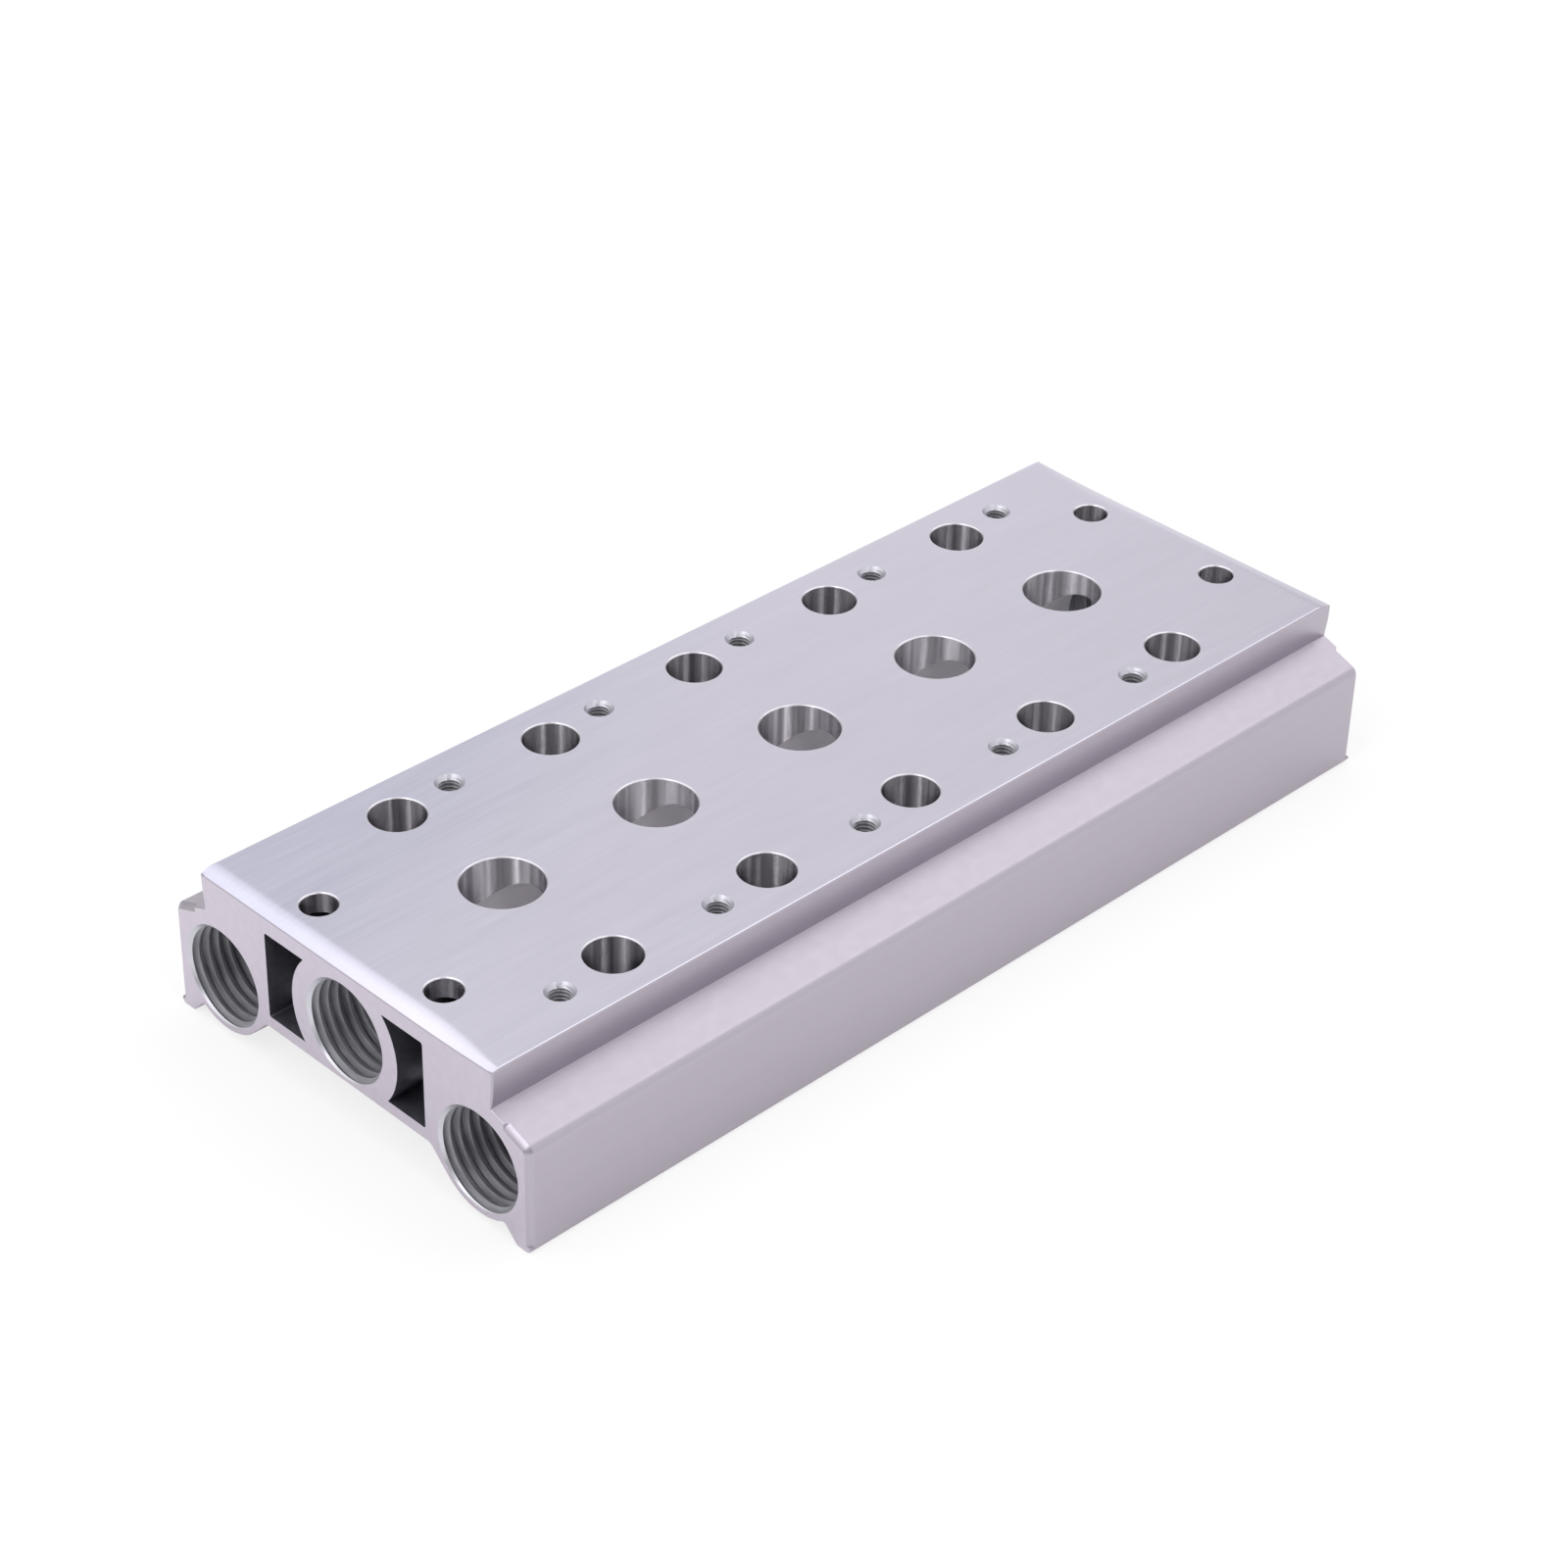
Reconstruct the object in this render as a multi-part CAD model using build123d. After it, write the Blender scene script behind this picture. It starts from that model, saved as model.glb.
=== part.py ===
from build123d import *
import math
import os

# Five station valve manifold, one piece of extruded and machined aluminium.
# Millimetres. X runs along the extrusion, Y across it, Z up.
# The origin is the middle of the footprint, on the plane that the two feet rest on.

# Stations along the length
station_count = 5
station_pitch = 23.0
end_margin = 22.75

# Outer section
body_width = 60.0
body_height = 21.2
plate_width = 49.0
plate_edge_radius = 0.25
ledge_drop = 5.1
ledge_slope = 20.8
ledge_corner_radius = 1.3
undercut_depth = 0.4
undercut_height = 2.2
foot_outer_radius = 0.8
foot_inner_radius = 0.5
foot_width = 2.2

# Long passages, one supply in the middle and one exhaust on each side, and the walls round them
passage_radius = 5.7
supply_axis_height = 12.6
exhaust_axis_height = 8.0
ring_wall = 3.2
boss_wall = 1.5
side_wall = 2.55
boss_outer_angle = 60.0
boss_outer_flank = 0.5
boss_inner_angle = 135.0
boss_root_radius = 1.2

# Hollow channels between the passages
top_web = 2.6
bottom_web = 1.6
channel_floor_height = 7.2
channel_side_wall = 2.75
channel_corner_radius = 0.3

# Threaded end ports, pipe thread of a quarter inch with 19 turns to the inch
port_drill_radius = 5.9
port_mouth_radius = 6.4
port_depth = 14.0

# Air holes from the valve seat down into the passages, the exhaust rows a little inside their passages
supply_hole_radius = 4.85
exhaust_hole_radius = 3.35
exhaust_hole_shift = 3.75
air_hole_rim = 0.12

# Blind tapped holes for the valve screws, two to a station on a diagonal
screw_offset_x = 8.5
screw_row_shift = 1.0
screw_drill_radius = 1.25
screw_rim_radius = 1.8
screw_depth = 6.5

# Through holes that fix the manifold down, inside the hollow channels
mounting_end_inset = 5.5
mounting_wall_gap = 0.65
mounting_hole_radius = 2.15
mounting_rim = 0.2

# Broken edges at the sawn ends
end_bevel_run = 1.8
end_bevel_drop = 0.55
side_break = 0.6
ledge_break_inset = 2.1

# Spare length of a cutting tool past the surface that it leaves
overrun = 1.0

# Worked out from the sizes above
body_length = (station_count - 1) * station_pitch + 2 * end_margin
half_length = body_length / 2
half_width = body_width / 2
half_plate = plate_width / 2
ring_radius = passage_radius + ring_wall
boss_radius = passage_radius + boss_wall
exhaust_offset = half_width - side_wall - passage_radius
channel_half_width = exhaust_offset - passage_radius - channel_side_wall
row_spacing = exhaust_offset - exhaust_hole_shift
screw_offset_y = row_spacing + screw_row_shift
mounting_spacing_x = body_length - 2 * mounting_end_inset
mounting_spacing_y = 2 * (channel_half_width - mounting_wall_gap - mounting_hole_radius)
ledge_foot_y = half_plate - undercut_depth
ledge_break_start = ledge_foot_y + ledge_break_inset
ledge_foot_z = body_height - ledge_drop
ledge_rise = math.tan(math.radians(ledge_slope))
ledge_edge_z = ledge_foot_z - (half_width - ledge_foot_y) * ledge_rise
web_underside = channel_floor_height - bottom_web
foot_inner_y = half_width - foot_width
passages = [
    (-exhaust_offset, exhaust_axis_height),
    (0.0, supply_axis_height),
    (exhaust_offset, exhaust_axis_height),
]


def station_places():
    """X of each valve station, spread evenly about the middle."""
    first = -(station_count - 1) * station_pitch / 2
    return [first + step * station_pitch for step in range(station_count)]


def boss_point(angle, reach):
    """A point at an angle below the outward horizontal, seen from the exhaust passage's axis."""
    turn = math.radians(angle)
    return (exhaust_offset + reach * math.cos(turn), exhaust_axis_height - reach * math.sin(turn))


def boss_corner():
    """Where the two straight flanks beside the round underside of a boss would meet."""
    middle = (boss_outer_angle + boss_inner_angle) / 2
    half_turn = math.radians((boss_inner_angle - boss_outer_angle) / 2)
    return boss_point(middle, boss_radius / math.cos(half_turn))


def foot_root():
    """The outer end of the boss's short outer flank, where the foot's inner slope starts down."""
    start_y, start_z = boss_point(boss_outer_angle, boss_radius)
    rise = math.radians(90 - boss_outer_angle)
    return (
        start_y + boss_outer_flank * math.cos(rise),
        start_z + boss_outer_flank * math.sin(rise),
    )


def web_root():
    """Where the boss's inner flank meets the underside of the bottom web."""
    start_y, start_z = boss_point(boss_inner_angle, boss_radius)
    flank = math.radians(boss_inner_angle - 90)
    along = (web_underside - start_z) / math.sin(flank)
    return (start_y - along * math.cos(flank), web_underside)


def half_outline():
    """The outside of one half of the section, from the top middle round to the underside middle."""
    corners = [
        ((half_plate, body_height), plate_edge_radius),
        ((half_plate, ledge_foot_z + undercut_height), undercut_height),
        ((ledge_foot_y, ledge_foot_z), plate_edge_radius),
        ((half_width, ledge_edge_z), ledge_corner_radius),
        ((half_width, 0.0), foot_outer_radius),
        ((foot_inner_y, 0.0), foot_inner_radius),
        (foot_root(), foot_inner_radius),
        (boss_corner(), boss_radius),
        (web_root(), boss_root_radius),
    ]
    points = [(0.0, body_height)] + [place for place, _ in corners] + [(0.0, web_underside)]
    curve = FilletPolyline(*points, radius=[size for _, size in corners])
    closing = Line((0.0, web_underside), (0.0, body_height))
    return make_face(curve + closing)


def channel_opening():
    """One hollow channel: square on its outer side, bounded by the supply ring on its inner side."""
    height = body_height - top_web - channel_floor_height
    middle = channel_floor_height + height / 2
    window = Pos(channel_half_width / 2, middle) * Rectangle(channel_half_width, height)
    window -= Pos(0, supply_axis_height) * Circle(ring_radius)
    return fillet(window.vertices(), channel_corner_radius)


def section():
    """The whole extruded section, in Y and Z."""
    solid_area = half_outline()
    solid_area += mirror(half_outline(), about=Plane.YZ)
    for place in passages:
        solid_area -= Pos(*place) * Circle(passage_radius)
    opening = channel_opening()
    solid_area -= opening
    solid_area -= mirror(opening, about=Plane.YZ)
    return solid_area


def bevelled_ends(body):
    """Take the shallow bevel off both ends of the valve seat."""
    low = body_height - end_bevel_drop
    inner = half_length - end_bevel_run
    side_view = Polyline(
        (-half_length, -overrun),
        (half_length, -overrun),
        (half_length, low),
        (inner, body_height),
        (-inner, body_height),
        (-half_length, low),
        close=True,
    )
    envelope = extrude(Plane.XZ * make_face(side_view), amount=half_width + overrun, both=True)
    return body & envelope


def edge_wedge(start, along, outward, reach):
    """A prism that breaks an end edge: from start, along the edge, where outward leaves the flank."""
    plane = Plane(origin=start, x_dir=(1, 0, 0), z_dir=along)
    lift = math.copysign(1.0, Vector(*outward).dot(plane.y_dir))
    corners = [
        (-overrun, overrun * lift),
        (side_break + overrun, overrun * lift),
        (-overrun, -(side_break + overrun) * lift),
    ]
    return extrude(plane * make_face(Polyline(*corners, close=True)), amount=reach)


def end_edge_breaks():
    """Wedges for one corner of the body: the outer part of the ledge, and the upright side edge."""
    turn = math.radians(ledge_slope)
    outward_run = (half_width - ledge_break_start) / math.cos(turn) + overrun
    start_z = ledge_foot_z - (ledge_break_start - ledge_foot_y) * ledge_rise
    ledge = edge_wedge(
        (-half_length, ledge_break_start, start_z),
        (0, math.cos(turn), -math.sin(turn)),
        (0, math.sin(turn), math.cos(turn)),
        outward_run,
    )
    upright = edge_wedge(
        (-half_length, half_width, body_height),
        (0, 0, -1),
        (0, 1, 0),
        body_height + overrun,
    )
    return [ledge, upright]


def drilled_hole(radius, top, bottom, rim):
    """An upright cutter from top down to bottom, with a small conical rim at the top."""
    depth = top - bottom
    shaft = Pos(0, 0, bottom) * Cylinder(
        radius, depth + overrun, align=(Align.CENTER, Align.CENTER, Align.MIN)
    )
    cone = Pos(0, 0, top - rim) * Cone(
        radius, radius + rim, rim, align=(Align.CENTER, Align.CENTER, Align.MIN)
    )
    return shaft + cone


def port_cutter():
    """The drilled depth of one end port with its 45 degree mouth, cut along +X from x = 0."""
    mouth = port_mouth_radius - port_drill_radius
    bore = Cylinder(port_drill_radius, port_depth, align=(Align.CENTER, Align.CENTER, Align.MIN))
    cone = Cone(
        port_mouth_radius, port_drill_radius, mouth, align=(Align.CENTER, Align.CENTER, Align.MIN)
    )
    return Rot(0, 90, 0) * (bore + cone)


def valve_seat_cutters():
    """The holes of every station, cut from the valve seat."""
    cutters = []
    for place in station_places():
        supply = drilled_hole(supply_hole_radius, body_height, supply_axis_height, air_hole_rim)
        cutters.append(Pos(place, 0, 0) * supply)
        for side in (-1, 1):
            exhaust = drilled_hole(
                exhaust_hole_radius, body_height, exhaust_axis_height, air_hole_rim
            )
            screw = drilled_hole(
                screw_drill_radius,
                body_height,
                body_height - screw_depth,
                screw_rim_radius - screw_drill_radius,
            )
            cutters.append(Pos(place, side * row_spacing, 0) * exhaust)
            cutters.append(Pos(place + side * screw_offset_x, side * screw_offset_y, 0) * screw)
    return cutters


def mounting_cutters():
    """Four holes right through the channels, near the corners of the valve seat."""
    hole = drilled_hole(mounting_hole_radius, body_height, -overrun, mounting_rim)
    half_x = mounting_spacing_x / 2
    half_y = mounting_spacing_y / 2
    return [Pos(x, y, 0) * hole for x in (-half_x, half_x) for y in (-half_y, half_y)]


def port_cutters():
    """The tapped mouths of the three passages, at both ends."""
    cutters = []
    for y, z in passages:
        cutters.append(Pos(-half_length, y, z) * port_cutter())
        cutters.append(Pos(half_length, y, z) * Rot(0, 0, 180) * port_cutter())
    return cutters


def manifold():
    """Extrude the section, trim its ends, then drill it."""
    body = extrude(Plane.YZ * section(), amount=half_length, both=True)
    body = bevelled_ends(body)
    for wedge in end_edge_breaks():
        for turned in (wedge, mirror(wedge, about=Plane.YZ)):
            body -= turned
            body -= mirror(turned, about=Plane.XZ)
    for cutter in valve_seat_cutters() + mounting_cutters() + port_cutters():
        body -= cutter
    return body


os.makedirs("parts", exist_ok=True)
block = manifold()
export_step(block, "parts/manifold_block.step")
print("solids", len(block.solids()), "volume", round(block.volume, 1), "box", block.bounding_box())
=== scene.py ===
import math

import bpy
from mathutils import Matrix, Quaternion, Vector


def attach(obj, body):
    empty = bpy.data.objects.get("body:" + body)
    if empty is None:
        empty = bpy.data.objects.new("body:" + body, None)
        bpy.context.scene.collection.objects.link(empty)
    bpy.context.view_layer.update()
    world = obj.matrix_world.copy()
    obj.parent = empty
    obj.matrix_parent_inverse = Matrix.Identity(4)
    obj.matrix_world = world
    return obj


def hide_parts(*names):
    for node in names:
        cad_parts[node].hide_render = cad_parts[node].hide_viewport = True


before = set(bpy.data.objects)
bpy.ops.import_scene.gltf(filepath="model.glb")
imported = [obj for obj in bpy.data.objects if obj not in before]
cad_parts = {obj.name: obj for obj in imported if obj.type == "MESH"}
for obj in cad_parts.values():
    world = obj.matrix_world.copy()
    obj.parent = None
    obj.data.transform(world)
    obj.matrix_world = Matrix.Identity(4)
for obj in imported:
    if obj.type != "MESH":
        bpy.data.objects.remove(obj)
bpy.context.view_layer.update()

# One millimetre, in metres
MM = 0.001

# Sizes of the block in millimetres. Only the undercut's roundings differ from the solid's
STATION_COUNT = 5
STATION_PITCH = 23.0
HALF_LENGTH = 68.75
HALF_WIDTH = 30.0
BODY_HEIGHT = 21.2
HALF_PLATE = 24.5
PLATE_EDGE_RADIUS = 0.25
LEDGE_FOOT_Y = 24.1
LEDGE_FOOT_Z = 16.1
LEDGE_SLOPE = math.radians(20.8)
LEDGE_CORNER_RADIUS = 1.3
UNDERCUT_HEIGHT = 2.2
UNDERCUT_ROUNDING = 23.0
UNDERCUT_FOOT_RADIUS = 0.08
FOOT_OUTER_RADIUS = 0.8
FOOT_INNER_RADIUS = 0.5
FOOT_INNER_Y = 27.8
PASSAGE_RADIUS = 5.7
SUPPLY_AXIS_HEIGHT = 12.6
EXHAUST_AXIS_HEIGHT = 8.0
EXHAUST_OFFSET = 21.75
RING_RADIUS = 8.9
BOSS_RADIUS = 7.2
BOSS_OUTER_ANGLE = math.radians(60)
BOSS_INNER_ANGLE = math.radians(135)
BOSS_OUTER_FLANK = 0.5
BOSS_ROOT_RADIUS = 1.2
CHANNEL_HALF_WIDTH = 13.3
CHANNEL_FLOOR = 7.2
CHANNEL_CEILING = 18.6
CHANNEL_CORNER_RADIUS = 0.3
WEB_UNDERSIDE = 5.6
ROW_SPACING = 18.0
SUPPLY_HOLE_RADIUS = 4.85
EXHAUST_HOLE_RADIUS = 3.35
SCREW_OFFSET = (8.5, 19.0)
SCREW_DEPTH = 6.5
SCREW_RIM_RADIUS = 1.8
MOUNTING_HOLES = (63.25, 10.5)
MOUNTING_HOLE_RADIUS = 2.15
PORT_MOUTH_RADIUS = 6.4
PORT_DEPTH = 14.0

# Softly rounded mouths of the holes, and how far round the arc of a mouth goes, in degrees
AIR_HOLE_RIM = 0.18
MOUNTING_RIM = 0.2
RIM_SWEEP = 80.0

# How far above the face that it cuts a cutter starts
OVERRUN = 1.0

# Where the cutters of mouths and countersinks close inside their holes: the share of the hole's radius,
# and how far below a port's cone or below the valve seat
MOUTH_CLOSES_AT = 0.8
PORT_MOUTH_SPARE = 0.3
SINK_CLOSES_AT = 0.9
SINK_CUTTER_DEPTH = 0.8

# Drill points: the length and narrow end of an air hole's, as shares of its radius, and the slope and
# narrow end of a screw hole's
AIR_DRILL_POINT = 0.55
AIR_DRILL_TIP = 0.02
SCREW_DRILL_SLOPE = 1.66
SCREW_DRILL_TIP = 0.05

# How many flat pieces go round each kind of hole, along a mouth's rounding and along the ring in a channel
PASSAGE_SEGMENTS = 96
SUPPLY_SEGMENTS = 96
EXHAUST_SEGMENTS = 72
MOUNTING_SEGMENTS = 48
SINK_SEGMENTS = 36
PORT_THREAD_SEGMENTS = 72
SCREW_THREAD_SEGMENTS = 24
RIM_STEPS = 4
RING_ARC_PIECES = 18

# Largest turn between two points of a rounded corner, in degrees, and the longest chord of a wide one
OUTLINE_STEP = 11.0
CHANNEL_STEP = 30.0
LONGEST_CHORD = 0.8

# The bevel at the ends of the valve seat, the length of its soft upper edge, and where and how much it
# narrows towards a corner
BEVEL_RUN = 1.8
BEVEL_DROP = 0.55
BEVEL_SOFTNESS = 0.7
BEVEL_DRESSED_FROM = 14.0
BEVEL_DRESSED_OFF = 0.6
BEVEL_DRESSED_CURVE = 1.5

# Broken edges at the sawn ends: of the ledges and upright sides, beside the valve seat, and all the rest
SIDE_BREAK = 0.7
PLATE_BREAK = 0.2
SAWN_EDGE_RADIUS = 0.1

# How far out on a ledge the first kind starts, how far above a ledge's foot the second does, and how near
# to the side counts as on it
LEDGE_BREAK_START = 26.2
PLATE_BREAK_START = 0.3
ON_SIDE = 0.01

# A flatness of 1 is a plain 45 degree break and 0 a round one. Its rings of points lie at these shares
BREAK_FLATNESS = 0.65
BREAK_SHARES = (0.0, 0.2, 0.4, 0.6, 0.8, 1.0)

# Where the rings of points behind the broken edge start, how far they are apart and how many there are
BEVEL_RINGS = (0.95, 0.125, 14)

# Where the section has points along its straight runs, so that the sawn ends can change there
SEAT_POINTS = (0, 6, 12, 14.5, 16, 17.5, 19, 20, 21, 22, 23, 23.7)
LEDGE_POINTS = (25.0, 25.9, 26.1, 26.3, 26.5, 27.2)

# How far the tool rings of the drilled walls are apart, in metres
RING_SPACING = 0.00013

# Threads: turns apart, radius at the crests and radius at the roots
PIPE_THREAD = (1.337, 5.9, 6.5)
SCREW_THREAD = (0.5, 1.25, 1.5)

# One turn of a groove: share of the turn and share of the groove's depth
GROOVE = [(0.0, 0.0), (0.28, 0.0), (0.52, 0.92), (0.57, 1.0), (0.71, 1.0), (0.76, 0.92)]

# Depths at which the taps' grooves start to fade out, and how many turns that takes
PORT_FADE_START = 10.0
SCREW_FADE_START = 5.5
FADE_TURNS = 2

# How much more than one turn above a port its tap's cutter starts, how far below the depth of a port and
# of a screw hole the cutters end, and a radius that is wider than any of them
PORT_TAP_LEAD = 0.4
PORT_TAP_SPARE = 0.8
SCREW_TAP_SPARE = 0.5
NO_LIMIT = 9.9

# Turns of a cutter that was made along +Z: down into the valve seat, and into each end
DOWN = Matrix.Rotation(math.pi, 3, "X")
INTO_LEFT = Matrix.Rotation(math.pi / 2, 3, "Y")
INTO_RIGHT = Matrix.Rotation(-math.pi / 2, 3, "Y")

# Camera, worked out for a picture of 1600 by 1600: place in millimetres, roll in degrees, the direction
# that it looks in, and its lens
CAMERA_PLACE = (-258.632, -252.644, 256.467)
CAMERA_ROLL = 1.45653
CAMERA_AIM = (0.590723, 0.582511, -0.558325)
CAMERA_LENS = 84.55

# Soft lights of the studio: azimuth and elevation of the middle, and half width, in degrees, then strength.
# The room's own faint light is everywhere
SOFT_LIGHTS = [
    (0, 90, 40, 0.38),
    (46, 37, 25, 0.62),
    (6, 54, 28, 1.48),
    (77, 55, 24, 1.33),
    (150, 42, 55, 1.22),
    (-45, 25, 60, 1.02),
    (95, 14, 33, 0.48),
    (225, 24, 45, 0.4),
    (46, 4, 30, 1.1),
]
ROOM_LIGHT = 0.03

# Strip lights: name, azimuth and elevation in degrees, width and height in metres. All stand this far away
# and are this bright
STRIP_LIGHTS = [
    ("left_strip", 187.6, 52.0, (0.5, 1.8)),
    ("right_strip", 261.6, 48.0, (0.5, 1.5)),
]
STRIP_DISTANCE = 2.5
STRIP_RADIANCE = 3.6

# Half the floor's side in metres, its colour, and how much of its white is its own, first to the camera
# and then in mirrors
FLOOR_REACH = 3.0
FLOOR_WHITE = 0.97
FLOOR_SHOWN = 0.78
FLOOR_GLOW = 0.1

# Edges sharper than this stay sharp. Faces turned this far towards an axis count as facing along it, and
# those of the valve seat lie above this height
SHARP_ANGLE = math.radians(28)
FACING = 0.9
SEAT_LOWEST = 20.5


def flat(y, z):
    """A point of the section."""
    return Vector((y, z))


def rounded(corners, step):
    """The points along straight runs whose corners, given with a radius, are rounded."""
    points = [corners[0][0]]
    for index in range(1, len(corners) - 1):
        corner, radius = corners[index]
        back = (corners[index - 1][0] - corner).normalized()
        ahead = (corners[index + 1][0] - corner).normalized()
        half = back.angle(ahead) / 2
        centre = corner + (back + ahead).normalized() * radius / math.sin(half)
        first = corner + back * radius / math.tan(half) - centre
        sweep = first.angle_signed(corner + ahead * radius / math.tan(half) - centre)
        turns = math.ceil(abs(math.degrees(sweep)) / step)
        pieces = max(2, turns, math.ceil(abs(sweep) * radius / LONGEST_CHORD))
        for share in range(pieces + 1):
            turn = Matrix.Rotation(-sweep * share / pieces, 2)
            points.append(centre + turn @ first)
    points.append(corners[-1][0])
    return points


def boss_point(angle, reach):
    """A point below the outward horizontal, seen from the exhaust passage's axis."""
    return flat(EXHAUST_OFFSET + reach * math.cos(angle), EXHAUST_AXIS_HEIGHT - reach * math.sin(angle))


def half_outline():
    """The outside of one half of the section, from the top middle to the underside middle."""
    slope = math.tan(LEDGE_SLOPE)
    outer = boss_point(BOSS_OUTER_ANGLE, BOSS_RADIUS)
    rise = math.pi / 2 - BOSS_OUTER_ANGLE
    root = outer + BOSS_OUTER_FLANK * flat(math.cos(rise), math.sin(rise))
    half_turn = (BOSS_INNER_ANGLE - BOSS_OUTER_ANGLE) / 2
    low = boss_point(BOSS_OUTER_ANGLE + half_turn, BOSS_RADIUS / math.cos(half_turn))
    inner = boss_point(BOSS_INNER_ANGLE, BOSS_RADIUS)
    fall = BOSS_INNER_ANGLE - math.pi / 2
    web = flat(inner.x - (WEB_UNDERSIDE - inner.y) / math.tan(fall), WEB_UNDERSIDE)
    ledge = [flat(y, LEDGE_FOOT_Z - (y - LEDGE_FOOT_Y) * slope) for y in LEDGE_POINTS]
    upper = [
        (flat(0, BODY_HEIGHT), 0),
        (flat(HALF_PLATE, BODY_HEIGHT), PLATE_EDGE_RADIUS),
        (flat(HALF_PLATE, LEDGE_FOOT_Z + UNDERCUT_HEIGHT), UNDERCUT_ROUNDING),
        (flat(LEDGE_FOOT_Y, LEDGE_FOOT_Z), UNDERCUT_FOOT_RADIUS),
        (ledge[0], 0),
    ]
    lower = [
        (ledge[-1], 0),
        (flat(HALF_WIDTH, LEDGE_FOOT_Z - (HALF_WIDTH - LEDGE_FOOT_Y) * slope), LEDGE_CORNER_RADIUS),
        (flat(HALF_WIDTH, 0), FOOT_OUTER_RADIUS),
        (flat(FOOT_INNER_Y, 0), FOOT_INNER_RADIUS),
        (root, FOOT_INNER_RADIUS),
        (low, BOSS_RADIUS),
        (web, BOSS_ROOT_RADIUS),
        (flat(0, WEB_UNDERSIDE), 0),
    ]
    seat = [flat(y, BODY_HEIGHT) for y in SEAT_POINTS]
    return seat + rounded(upper, OUTLINE_STEP)[1:] + ledge[1:-1] + rounded(lower, OUTLINE_STEP)


def whole_outline():
    """The outside of the section, all the way round."""
    half = half_outline()
    other = [flat(-p.x, p.y) for p in reversed(half[1:-1])]
    return half + other


def bevel_fall(inward, y, sign):
    """How far the valve seat has fallen at a distance from a sawn end. The bevel narrows towards one
    corner of each end, the two being diagonal to each other."""
    towards = (sign * y - BEVEL_DRESSED_FROM) / (HALF_PLATE - BEVEL_DRESSED_FROM)
    share = 1 - BEVEL_DRESSED_OFF * min(max(towards, 0.0), 1.0) ** BEVEL_DRESSED_CURVE
    rate = BEVEL_DROP / BEVEL_RUN
    run = BEVEL_RUN * share
    soft = BEVEL_SOFTNESS * share
    if inward <= run - soft:
        return rate * (run - inward)
    left = max(run + soft - inward, 0.0)
    return rate * left * left / (4 * soft)


def edge_break(place):
    """How much is broken off the sawn edge at a place of the outline."""
    across = abs(place.x)
    on_ledge = place.y > BODY_HEIGHT / 2
    on_side = across > HALF_WIDTH - ON_SIDE
    if across > LEDGE_BREAK_START and (on_ledge or on_side):
        return SIDE_BREAK
    if across > LEDGE_FOOT_Y and place.y > LEDGE_FOOT_Z + PLATE_BREAK_START:
        return PLATE_BREAK
    return SAWN_EDGE_RADIUS


def outward(points, index):
    """The direction that points out of the outline at one of its points."""
    along = points[(index + 1) % len(points)] - points[index - 1]
    return flat(-along.y, along.x).normalized()


def end_rows(outline, sign):
    """Rings of points from a sawn end inwards."""
    facing = [outward(outline, n) for n in range(len(outline))]
    rings = []
    for share in BREAK_SHARES:
        ring = []
        for place, away in zip(outline, facing):
            amount = edge_break(place)
            turn = share * math.pi / 2
            roundness = 1 - BREAK_FLATNESS
            inset = amount * (BREAK_FLATNESS * (1 - share) + roundness * (1 - math.sin(turn)))
            inward = amount * (BREAK_FLATNESS * share + roundness * (1 - math.cos(turn)))
            height = min(place.y, BODY_HEIGHT - bevel_fall(inward, place.x, sign))
            along = sign * (HALF_LENGTH - inward)
            ring.append((along, place.x - away.x * inset, height - away.y * inset))
        rings.append(ring)
    first, apart, count = BEVEL_RINGS
    for step in range(count):
        inward = first + apart * step
        ring = []
        for place in outline:
            height = BODY_HEIGHT - bevel_fall(inward, place.x, sign)
            ring.append((sign * (HALF_LENGTH - inward), place.x, min(place.y, height)))
        rings.append(ring)
    return rings


def skin(rings, name):
    """A closed mesh through rings of points, with a face across each end."""
    count = len(rings[0])
    vertices = [p for ring in rings for p in ring]
    faces = []
    for row in range(len(rings) - 1):
        low = row * count
        high = low + count
        for n in range(count):
            m = (n + 1) % count
            faces.append((low + n, high + n, high + m, low + m))
    faces.append(tuple(range(count)))
    faces.append(tuple(reversed(range((len(rings) - 1) * count, len(rings) * count))))
    return shape(name, vertices, faces)


def shape(name, vertices, faces):
    """A new mesh object in the scene."""
    data = bpy.data.meshes.new(name)
    data.from_pydata([tuple(v) for v in vertices], [], faces)
    data.validate()
    made = bpy.data.objects.new(name, data)
    bpy.context.scene.collection.objects.link(made)
    return made


def placed(points, turn, place):
    """Points turned and then moved."""
    return [turn @ Vector(p) + Vector(place) for p in points]


def joined(name, groups):
    """One mesh object from lists of vertices and faces that stay apart, each group with its finish."""
    vertices = []
    faces = []
    finishes = []
    for number, (_, parts) in enumerate(groups):
        for part_vertices, part_faces in parts:
            start = len(vertices)
            vertices += list(part_vertices)
            faces += [tuple(start + n for n in face) for face in part_faces]
            finishes += [number] * len(part_faces)
    made = shape(name, vertices, faces)
    for finish, _ in groups:
        made.data.materials.append(finish)
    made.data.polygons.foreach_set("material_index", finishes)
    return made


def turned_cutter(profile, segments):
    """A round cutter along +Z from pairs of radius and depth, closed at both ends."""
    vertices = []
    for radius, depth in profile:
        for n in range(segments):
            turn = 2 * math.pi * n / segments
            vertices.append((radius * math.cos(turn), radius * math.sin(turn), depth))
    faces = []
    for row in range(len(profile) - 1):
        low = row * segments
        high = low + segments
        for n in range(segments):
            m = (n + 1) % segments
            faces.append((low + n, low + m, high + m, high + n))
    last = (len(profile) - 1) * segments
    faces.append(tuple(reversed(range(segments))))
    faces.append(tuple(range(last, last + segments)))
    return vertices, faces


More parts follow.
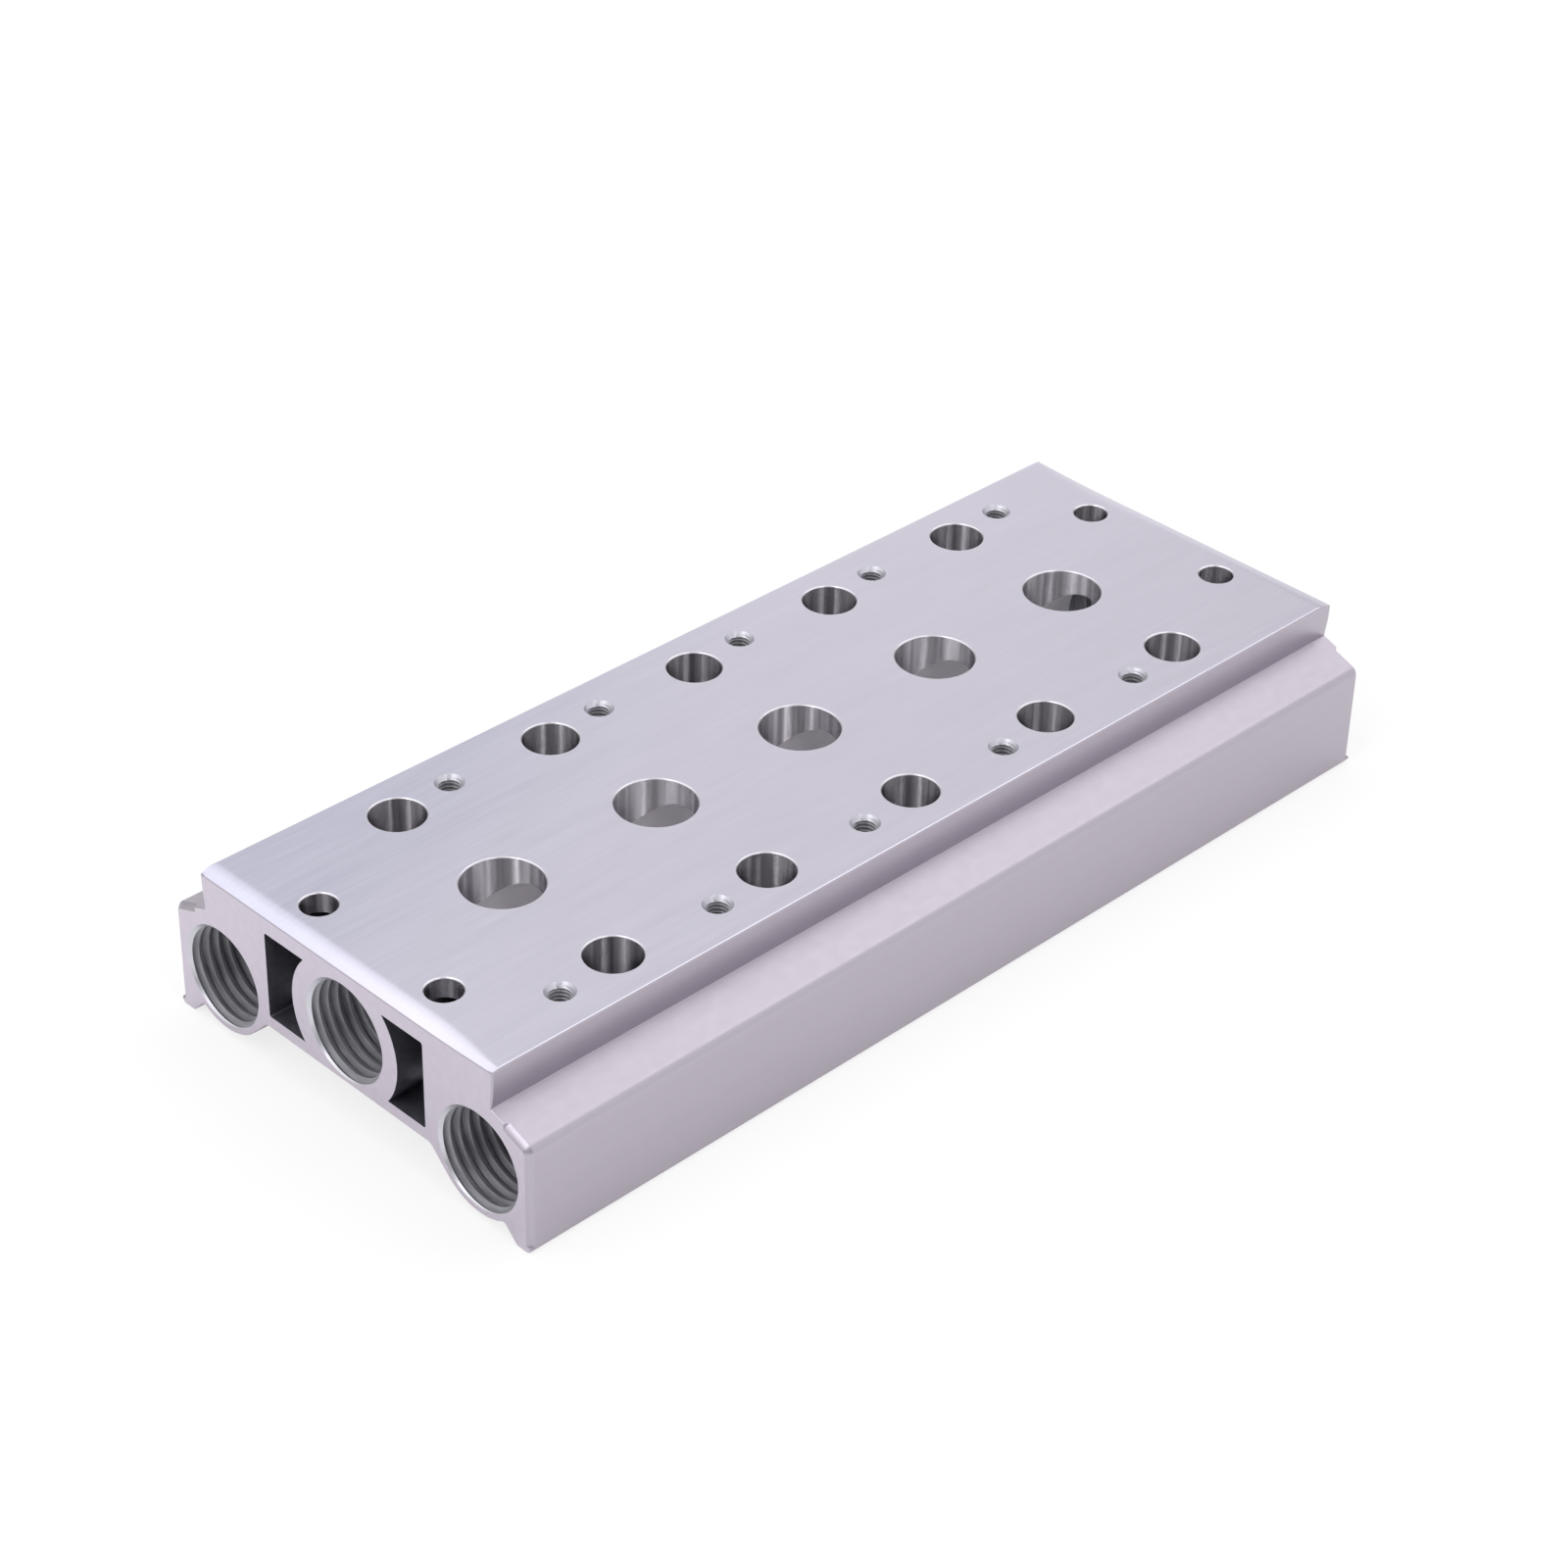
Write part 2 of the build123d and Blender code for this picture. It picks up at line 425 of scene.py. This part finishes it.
def fan(loop, middle):
    """Triangles from a closed loop of points to a middle point."""
    return [(a, b, middle) for a, b in zip(loop, loop[1:] + loop[:1])]


def threaded_cutter(thread, start, end, fade_start, ending, segments):
    """A tap's cutter along +Z. Its groove fades out towards the end, and ending(depth) is the widest
    that the cutter may be at a depth."""
    pitch, crest, root = thread
    turns = math.ceil((end - start) / pitch) + 1
    rows = [(n + share, out) for n in range(turns) for share, out in GROOVE]
    count = len(rows)
    vertices = []
    for n in range(segments):
        turn = 2 * math.pi * n / segments
        for share, out in rows:
            depth = start + pitch * (share + n / segments)
            fade = min(1.0, max(0.0, 1 - (depth - fade_start) / (FADE_TURNS * pitch)))
            radius = min(crest + (root - crest) * out * fade, ending(depth))
            vertices.append((radius * math.cos(turn), radius * math.sin(turn), depth))
    faces = []
    for n in range(segments - 1):
        for k in range(count - 1):
            a = n * count + k
            b = a + count
            faces.append((a, b, b + 1, a + 1))
    seam = (segments - 1) * count
    step = len(GROOVE)
    for k in range(count - 1 - step):
        faces.append((seam + k, k + step, k + step + 1, seam + k + 1))
    top = count - 1
    low = [n * count for n in range(segments)] + list(range(step, 0, -1))
    high = [n * count + top for n in range(segments)] + [seam + top - k for k in range(1, step + 1)]
    middle = len(vertices)
    vertices.append((0, 0, start + pitch / 2))
    vertices.append((0, 0, start + pitch * (rows[-1][0] + 0.5)))
    faces += [face[::-1] for face in fan(low, middle)]
    faces += fan(high, middle + 1)
    return vertices, faces


def station_places():
    """X of each valve station."""
    first = -(STATION_COUNT - 1) * STATION_PITCH / 2
    return [first + n * STATION_PITCH for n in range(STATION_COUNT)]


def round_rim(radius, rim):
    """The profile of a softly rounded mouth. It stops just short of upright and then closes inside the
    hole, so that it crosses the wall cleanly."""
    profile = [(radius + rim + OVERRUN, -OVERRUN)]
    for step in range(RIM_STEPS + 1):
        turn = math.radians(RIM_SWEEP) * step / RIM_STEPS
        profile.append((radius + rim * (1 - math.sin(turn)), rim * (1 - math.cos(turn))))
    return profile + [(radius * MOUTH_CLOSES_AT, rim * 2)]


def air_hole(radius, depth):
    """The profile of a drilled hole with the drill's pointed end."""
    point = (radius * AIR_DRILL_TIP, depth + radius * AIR_DRILL_POINT)
    return [(radius, -OVERRUN), (radius, depth), point]


def on_seat(profile, segments, places):
    """One cutter, repeated at places on the valve seat."""
    cutter = turned_cutter(profile, segments)
    return [(placed(cutter[0], DOWN, (x, y, BODY_HEIGHT)), cutter[1]) for x, y in places]


def supply_places():
    """X and Y of the supply holes."""
    return [(x, 0) for x in station_places()]


def exhaust_places():
    """X and Y of the exhaust holes."""
    return [(x, side * ROW_SPACING) for x in station_places() for side in (-1, 1)]


def screw_places():
    """X and Y of the valve screw holes, on a diagonal at each station."""
    along, across = SCREW_OFFSET
    return [(x + side * along, side * across) for x in station_places() for side in (-1, 1)]


def mounting_places():
    """X and Y of the mounting holes."""
    along, across = MOUNTING_HOLES
    return [(x, y) for x in (-along, along) for y in (-across, across)]


def drills(finishes):
    """The plain holes and countersinks of the valve seat, and the mouths of the end ports."""
    supply = air_hole(SUPPLY_HOLE_RADIUS, BODY_HEIGHT - SUPPLY_AXIS_HEIGHT)
    exhaust = air_hole(EXHAUST_HOLE_RADIUS, BODY_HEIGHT - EXHAUST_AXIS_HEIGHT)
    mounting = [(MOUNTING_HOLE_RADIUS, -OVERRUN), (MOUNTING_HOLE_RADIUS, BODY_HEIGHT + OVERRUN)]
    sink = [
        (SCREW_RIM_RADIUS + OVERRUN, -OVERRUN),
        (SCREW_RIM_RADIUS, 0.0),
        (SCREW_THREAD[1], SCREW_RIM_RADIUS - SCREW_THREAD[1]),
        (SCREW_THREAD[1] * SINK_CLOSES_AT, SINK_CUTTER_DEPTH),
    ]
    return [
        (finishes["wide_drilled"], on_seat(supply, SUPPLY_SEGMENTS, supply_places())),
        (finishes["narrow_drilled_painted_shade"], on_seat(exhaust, EXHAUST_SEGMENTS, exhaust_places())),
        (finishes["mounting"], on_seat(mounting, MOUNTING_SEGMENTS, mounting_places())),
        (finishes["sink"], on_seat(sink, SINK_SEGMENTS, screw_places())),
        (finishes["mouth"], port_mouths()),
    ]


def rims():
    """The rounded mouths of the air holes and the mounting holes."""
    kinds = [
        (SUPPLY_HOLE_RADIUS, AIR_HOLE_RIM, SUPPLY_SEGMENTS, supply_places()),
        (EXHAUST_HOLE_RADIUS, AIR_HOLE_RIM, EXHAUST_SEGMENTS, exhaust_places()),
        (MOUNTING_HOLE_RADIUS, MOUNTING_RIM, MOUNTING_SEGMENTS, mounting_places()),
    ]
    parts = []
    for radius, rim, segments, places in kinds:
        parts += on_seat(round_rim(radius, rim), segments, places)
    return parts


def passages():
    """Y and Z of the three long air passages."""
    return [
        (-EXHAUST_OFFSET, EXHAUST_AXIS_HEIGHT),
        (0.0, SUPPLY_AXIS_HEIGHT),
        (EXHAUST_OFFSET, EXHAUST_AXIS_HEIGHT),
    ]


def port_places():
    """Turn and place of each of the six end ports."""
    places = []
    for y, z in passages():
        places.append((INTO_LEFT, (-HALF_LENGTH, y, z)))
        places.append((INTO_RIGHT, (HALF_LENGTH, y, z)))
    return places


def port_mouths():
    """The 45 degree mouths of the end ports."""
    drill = PIPE_THREAD[1]
    mouth = PORT_MOUTH_RADIUS - drill
    profile = [
        (PORT_MOUTH_RADIUS + OVERRUN, -OVERRUN),
        (PORT_MOUTH_RADIUS, 0.0),
        (drill, mouth),
        (drill * MOUTH_CLOSES_AT, mouth + PORT_MOUTH_SPARE),
    ]
    cone = turned_cutter(profile, PASSAGE_SEGMENTS)
    return [(placed(cone[0], turn, place), cone[1]) for turn, place in port_places()]


def port_taps():
    """The threads of the six end ports."""
    def ending(depth):
        return NO_LIMIT if depth < PORT_DEPTH else PIPE_THREAD[1] - (depth - PORT_DEPTH)

    start = -PIPE_THREAD[0] - PORT_TAP_LEAD
    end = PORT_DEPTH + PORT_TAP_SPARE
    tap = threaded_cutter(PIPE_THREAD, start, end, PORT_FADE_START, ending, PORT_THREAD_SEGMENTS)
    return [(placed(tap[0], turn, place), tap[1]) for turn, place in port_places()]


def screw_taps():
    """The threads of the ten valve screw holes, each with the drill's pointed end."""
    def ending(depth):
        if depth < SCREW_DEPTH:
            return NO_LIMIT
        return max(SCREW_DRILL_TIP, SCREW_THREAD[1] - (depth - SCREW_DEPTH) * SCREW_DRILL_SLOPE)

    end = SCREW_DEPTH + SCREW_TAP_SPARE
    tap = threaded_cutter(SCREW_THREAD, -OVERRUN, end, SCREW_FADE_START, ending, SCREW_THREAD_SEGMENTS)
    return [(placed(tap[0], DOWN, (x, y, BODY_HEIGHT)), tap[1]) for x, y in screw_places()]


def prism(points):
    """A straight cutter right through the block along X."""
    reach = HALF_LENGTH + 2 * OVERRUN
    count = len(points)
    vertices = [(x, p.x, p.y) for x in (-reach, reach) for p in points]
    faces = [(n, (n + 1) % count, count + (n + 1) % count, count + n) for n in range(count)]
    faces.append(tuple(range(count))[::-1])
    faces.append(tuple(range(count, 2 * count)))
    return vertices, faces


def channel_points(side):
    """The outline of one hollow channel, anticlockwise."""
    centre = flat(0, SUPPLY_AXIS_HEIGHT)
    low = math.asin((CHANNEL_FLOOR - SUPPLY_AXIS_HEIGHT) / RING_RADIUS)
    high = math.asin((CHANNEL_CEILING - SUPPLY_AXIS_HEIGHT) / RING_RADIUS)
    start = centre + RING_RADIUS * flat(math.cos(low), math.sin(low))
    finish = centre + RING_RADIUS * flat(math.cos(high), math.sin(high))
    corners = [
        (start, 0),
        (flat(CHANNEL_HALF_WIDTH, CHANNEL_FLOOR), CHANNEL_CORNER_RADIUS),
        (flat(CHANNEL_HALF_WIDTH, CHANNEL_CEILING), CHANNEL_CORNER_RADIUS),
        (finish, 0),
    ]
    points = rounded(corners, CHANNEL_STEP)
    for n in range(1, RING_ARC_PIECES):
        turn = high + (low - high) * n / RING_ARC_PIECES
        points.append(centre + RING_RADIUS * flat(math.cos(turn), math.sin(turn)))
    if side < 0:
        points = [flat(-p.x, p.y) for p in reversed(points)]
    return points


def channels():
    """The two hollow channels."""
    return [prism(channel_points(side)) for side in (-1, 1)]


def passage_bores():
    """The three air passages."""
    turns = [2 * math.pi * n / PASSAGE_SEGMENTS for n in range(PASSAGE_SEGMENTS)]
    circle = [(PASSAGE_RADIUS * math.cos(turn), PASSAGE_RADIUS * math.sin(turn)) for turn in turns]
    return [prism([flat(y + across, z + up) for across, up in circle]) for y, z in passages()]


def cut(piece, cutter):
    """Take one object's form out of another and drop the cutter."""
    change = piece.modifiers.new("cut", "BOOLEAN")
    change.operation = "DIFFERENCE"
    change.solver = "MANIFOLD"
    change.material_mode = "TRANSFER"
    change.object = cutter
    graph = bpy.context.evaluated_depsgraph_get()
    done = bpy.data.meshes.new_from_object(piece.evaluated_get(graph))
    piece.modifiers.clear()
    old = piece.data
    piece.data = done
    bpy.data.meshes.remove(old)
    bpy.data.objects.remove(cutter)


def block_mesh(finishes):
    """The whole block: the extruded skin, less the long hollows, the drills, and the taps and rims."""
    outline = whole_outline()
    rings = end_rows(outline, -1) + end_rows(outline, 1)[::-1]
    piece = skin(rings, "valve_manifold_block")
    piece.data.materials.append(finishes["extruded"])
    hollows = [(finishes["channel"], channels()), (finishes["passage"], passage_bores())]
    taps_and_rims = [
        (finishes["port_thread_painted_shade"], port_taps()),
        (finishes["screw_thread_painted_shade"], screw_taps()),
        (finishes["rim"], rims()),
    ]
    cut(piece, joined("long_hollows", hollows))
    cut(piece, joined("drills", drills(finishes)))
    cut(piece, joined("taps_and_rims", taps_and_rims))
    piece.data.transform(Matrix.Scale(MM, 4))
    return piece


class Wire:
    """One socket of a finish, which can be used in sums like a number."""

    def __init__(self, finish, socket):
        self.finish = finish
        self.socket = socket

    def __add__(self, other):
        return self.finish.maths("ADD", self, other)

    def __sub__(self, other):
        return self.finish.maths("SUBTRACT", self, other)

    def __mul__(self, other):
        return self.finish.maths("MULTIPLY", self, other)

    __radd__ = __add__


class Nodes:
    """A tree of nodes, empty at first."""

    def __init__(self, tree):
        self.tree = tree
        tree.nodes.clear()

    def node(self, kind, settings=None, sockets=None, out=0):
        """A new node: its settings first, then the values or wires of its sockets."""
        made = self.tree.nodes.new(kind)
        for name, value in (settings or {}).items():
            setattr(made, name, value)
        for name, value in (sockets or {}).items():
            if isinstance(value, Wire):
                self.tree.links.new(value.socket, made.inputs[name])
            else:
                made.inputs[name].default_value = value
        return None if out is None else Wire(self, made.outputs[out])

    def maths(self, operation, first, second=0.0, clamp=False):
        settings = {"operation": operation, "use_clamp": clamp}
        return self.node("ShaderNodeMath", settings, {0: first, 1: second})

    def vectors(self, operation, first, second=(0, 0, 0), out=0):
        return self.node("ShaderNodeVectorMath", {"operation": operation}, {0: first, 1: second}, out)

    def contrast(self, value, amount):
        """A value from 0 to 1, pushed away from its middle."""
        return self.maths("ADD", (value - 0.5) * amount, 0.5, clamp=True)

    def step(self, value, low, high):
        """A soft step from 0 to 1 between two values."""
        settings = {"interpolation_type": "SMOOTHSTEP"}
        sockets = {"Value": value, 1: low, 2: high}
        return self.node("ShaderNodeMapRange", settings, sockets, out="Result")

    def end(self, shader, kind="ShaderNodeOutputMaterial"):
        self.node(kind, {}, {"Surface": shader}, out=None)


class Finish(Nodes):
    """A material that is made from nodes."""

    def __init__(self, name):
        self.material = bpy.data.materials.new(name)
        self.material.use_nodes = True
        super().__init__(self.material.node_tree)

    def place(self):
        return self.node("ShaderNodeTexCoord", out="Object")

    def coordinate(self, axis):
        return self.node("ShaderNodeSeparateXYZ", {}, {0: self.place()}, out=axis)

    def noise(self, scale, detail=2.0):
        """A cloudy value from 0 to 1, so many times finer along X, Y and Z than one to a metre."""
        stretched = self.vectors("MULTIPLY", self.place(), scale)
        sockets = {"Vector": stretched, "Scale": 1.0, "Detail": detail}
        return self.node("ShaderNodeTexNoise", {"normalize": True}, sockets)

    def blend(self, share, low, high):
        """A colour between two others, each given or a wire."""
        first, second = [end if isinstance(end, Wire) else end + (1,) for end in (low, high)]
        sockets = {"Factor": share, 6: first, 7: second}
        return self.node("ShaderNodeMix", {"data_type": "RGBA"}, sockets, out=2)

    def bump(self, height, distance, strength):
        """The surface's normal, tilted by a height of up to this many metres."""
        sockets = {"Height": height, "Distance": distance, "Strength": strength}
        return self.node("ShaderNodeBump", {}, sockets)

    def tipped(self, amount):
        """The surface's normal, tipped upwards by an amount."""
        up = self.node("ShaderNodeCombineXYZ", {}, {"Z": amount})
        normal = self.node("ShaderNodeNewGeometry", out="Normal")
        return self.vectors("NORMALIZE", self.vectors("ADD", normal, up))

    def metal(self, colour, roughness, normal=None, metallic=1.0):
        sockets = {"Base Color": colour, "Metallic": metallic, "Roughness": roughness}
        if normal is not None:
            sockets["Normal"] = normal
        self.end(self.node("ShaderNodeBsdfPrincipled", {}, sockets))
        return self.material


def brushed_seat_with_painted_shade():
    """The valve seat, finely brushed along the block, with painted shade darker and bluer towards one
    corner.
    """
    finish = Finish("brushed_seat_with_painted_shade")
    lines = finish.noise((90.0, 2200.0, 2200.0))
    broad = finish.noise((14.0, 220.0, 220.0))
    # Painted shade: the seat's tone turns darker and bluer towards one corner, standing in for how the
    # light falls there.
    painted_shade_towards_corner = finish.coordinate("Y") - finish.coordinate("X") * 0.5
    near = finish.step(painted_shade_towards_corner, 0.014, 0.05)
    low = finish.blend(near, (0.657, 0.634, 0.731), (0.535, 0.532, 0.652))
    high = finish.blend(near, (0.729, 0.703, 0.802), (0.7, 0.692, 0.812))
    tone = finish.blend(lines * 0.7 + broad * 0.3, low, high)
    return finish.metal(tone, 0.26 + lines * 0.08, finish.bump(lines, 0.000006, 0.5))


def extruded_side():
    """The extruded outside, with the faint lines that the die leaves along the block."""
    finish = Finish("extruded_side")
    lines = finish.noise((3.0, 900.0, 900.0))
    grain = finish.noise((700.0, 900.0, 900.0))
    tone = finish.blend(lines * 0.6 + grain * 0.4, (0.442, 0.408, 0.462), (0.494, 0.455, 0.52))
    return finish.metal(tone, 0.34 + grain * 0.1, finish.bump(lines, 0.00001, 0.4))


def plain_metal(name, low, high, roughness, metallic=1.0):
    """Cut metal with a fine even grain, between a darkest and a palest tone."""
    finish = Finish(name)
    grain = finish.noise((900.0, 900.0, 900.0), 3.0)
    tone = finish.blend(grain, low, high)
    return finish.metal(tone, roughness + grain * 0.1, finish.bump(grain, 0.00001, 0.4), metallic)


def drilled_wall(name, low, high, tip=0.85):
    """The wall of a drilled hole, which fine tool rings tip up and down, with streaks down the wall."""
    finish = Finish(name)
    patchy = finish.noise((300.0, 300.0, 1500.0))
    streaks = finish.noise((1100.0, 1100.0, 25.0), 1.0)
    rings = finish.maths("SINE", finish.coordinate("Z") * (2 * math.pi / RING_SPACING) + patchy * 9.0)
    tone = finish.blend(finish.contrast(streaks, 2.6), low, high)
    return finish.metal(tone, 0.2 + patchy * 0.08, finish.tipped(rings * tip))


def cut_thread(name, low, high):
    """A tapped thread, streaked along its turns."""
    finish = Finish(name)
    streaks = finish.noise((3000.0, 260.0, 260.0), 3.0)
    tone = finish.blend(finish.contrast(streaks, 2.2), low, high)
    return finish.metal(tone, 0.36 + streaks * 0.12, metallic=0.65)


def make_finishes():
    """Every finish of the block, by its place."""
    return {
        "seat": brushed_seat_with_painted_shade(),
        "end": plain_metal("sawn_end", (0.562, 0.518, 0.595), (0.655, 0.606, 0.684), 0.4),
        "extruded": extruded_side(),
        # Painted shade: the channels' inside is much darker than the same metal outside, for the shade deep
        # in them.
        "channel": plain_metal("channel_inside_painted_shade", (0.2, 0.2, 0.24), (0.32, 0.32, 0.37), 0.4),
        # Painted light: the passages' inside is near white, to lighten their floor where light falls on it
        # through the holes.
        "passage": plain_metal("passage_inside_painted_light", (0.9, 0.88, 0.91), (0.96, 0.94, 0.97), 0.45, 0.1),
        "wide_drilled": drilled_wall("supply_hole_wall", (0.3, 0.285, 0.32), (0.7, 0.67, 0.72)),
        # Painted shade: the exhaust hole walls are darker than the supply hole walls, because these holes
        # are narrower and deeper.
        "narrow_drilled_painted_shade": drilled_wall("exhaust_hole_wall_painted_shade", (0.2, 0.19, 0.215), (0.47, 0.45, 0.49)),
        "mounting": drilled_wall("mounting_hole_wall", (0.22, 0.21, 0.235), (0.6, 0.585, 0.62), 0.6),
        # Painted highlight: the rounded mouths of the holes are paler than the metal around them.
        "rim": plain_metal("hole_rim_painted_highlight", (0.7, 0.68, 0.74), (0.8, 0.78, 0.84), 0.25),
        "sink": plain_metal("countersink", (0.5, 0.49, 0.54), (0.62, 0.61, 0.67), 0.4),
        "mouth": plain_metal("port_mouth", (0.6, 0.6, 0.65), (0.7, 0.7, 0.75), 0.3),
        # Painted shade: both threads are darker than the other cut metal, for the shade inside the ports
        # and screw holes.
        "port_thread_painted_shade": cut_thread("port_thread_painted_shade", (0.22, 0.22, 0.245), (0.43, 0.43, 0.47)),
        "screw_thread_painted_shade": cut_thread("screw_thread_painted_shade", (0.32, 0.31, 0.34), (0.46, 0.45, 0.48)),
    }


def aim(azimuth, elevation):
    """The direction towards an azimuth, counted from +X towards +Y, and an elevation, in degrees."""
    a = math.radians(azimuth)
    e = math.radians(elevation)
    return Vector((math.cos(a) * math.cos(e), math.sin(a) * math.cos(e), math.sin(e)))


def make_floor():
    """A plain white floor. To the camera and in mirrors and glass it is whiter than it is lit, and it
    keeps part of the block's shadow."""
    reach = FLOOR_REACH
    corners = [(-reach, -reach, 0), (reach, -reach, 0), (reach, reach, 0), (-reach, reach, 0)]
    floor = shape("floor", corners, [(0, 1, 2, 3)])
    finish = Finish("white_floor")
    camera = finish.node("ShaderNodeLightPath", out="Is Camera Ray")
    mirrored = finish.node("ShaderNodeLightPath", out="Is Glossy Ray")
    through = finish.node("ShaderNodeLightPath", out="Is Transmission Ray")
    colour = (FLOOR_WHITE, FLOOR_WHITE, FLOOR_WHITE, 1)
    lit = finish.node("ShaderNodeBsdfDiffuse", {}, {"Color": colour})
    white = finish.node("ShaderNodeEmission", {}, {"Color": (1, 1, 1, 1), "Strength": 1.0})
    share = camera * FLOOR_SHOWN + mirrored * FLOOR_GLOW + through * FLOOR_SHOWN
    finish.end(finish.node("ShaderNodeMixShader", {}, {0: share, 1: lit, 2: white}))
    floor.data.materials.append(finish.material)


def make_world():
    """A light tent: soft bright patches in front of a dark room."""
    world = bpy.data.worlds.new("studio")
    bpy.context.scene.world = world
    world.use_nodes = True
    sky = Nodes(world.node_tree)
    direction = sky.node("ShaderNodeTexCoord", out="Generated")
    total = ROOM_LIGHT
    for azimuth, elevation, half, strength in SOFT_LIGHTS:
        near = sky.vectors("DOT_PRODUCT", direction, aim(azimuth, elevation), "Value")
        total = sky.step(near, math.cos(math.radians(half)), 1.0) * strength + total
    lit = sky.node("ShaderNodeBackground", {}, {"Color": (1, 1, 1, 1), "Strength": total})
    sky.end(lit, "ShaderNodeOutputWorld")


def make_strip_light(name, azimuth, elevation, size):
    """A tall strip light that looks at the block and draws the pale streaks in the drilled walls."""
    away = aim(azimuth, elevation)
    data = bpy.data.lights.new(name, "AREA")
    data.shape = "RECTANGLE"
    data.size, data.size_y = size
    data.energy = STRIP_RADIANCE * math.pi * size[0] * size[1]
    lamp = bpy.data.objects.new(name, data)
    bpy.context.scene.collection.objects.link(lamp)
    lamp.location = away * STRIP_DISTANCE
    lamp.rotation_mode = "QUATERNION"
    lamp.rotation_quaternion = (-away).to_track_quat("-Z", "Y")


def make_camera():
    """The camera at the photograph's viewing angle."""
    data = bpy.data.cameras.new("camera")
    data.sensor_width = 36.0
    data.lens = CAMERA_LENS
    data.clip_start = 0.01
    data.clip_end = 20.0
    camera = bpy.data.objects.new("camera", data)
    bpy.context.scene.collection.objects.link(camera)
    camera.location = Vector(CAMERA_PLACE) * MM
    camera.rotation_mode = "QUATERNION"
    level = Vector(CAMERA_AIM).to_track_quat("-Z", "Y")
    camera.rotation_quaternion = level @ Quaternion((0, 0, 1), math.radians(CAMERA_ROLL))
    bpy.context.scene.camera = camera


def finish_block(piece, finishes):
    """Finishes of the seat and the sawn ends, then smooth shading between sharp edges."""
    names = [m.name for m in piece.data.materials]
    skin_number = names.index(finishes["extruded"].name)
    piece.data.materials.append(finishes["seat"])
    piece.data.materials.append(finishes["end"])
    for face in piece.data.polygons:
        if face.material_index != skin_number:
            continue
        if face.normal.z > FACING and face.center.z > SEAT_LOWEST * MM:
            face.material_index = len(names)
        elif abs(face.normal.x) > FACING:
            face.material_index = len(names) + 1
    piece.data.shade_smooth()
    piece.data.set_sharp_from_angle(angle=SHARP_ANGLE)
    change = piece.modifiers.new("flat_faces_stay_flat", "WEIGHTED_NORMAL")
    change.keep_sharp = True
    change.mode = "FACE_AREA"


finishes = make_finishes()
block = block_mesh(finishes)
finish_block(block, finishes)
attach(block, "root")
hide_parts("manifold_block")

make_floor()
make_world()
for strip in STRIP_LIGHTS:
    make_strip_light(*strip)
make_camera()

scene = bpy.context.scene
scene.view_settings.view_transform = "Standard"
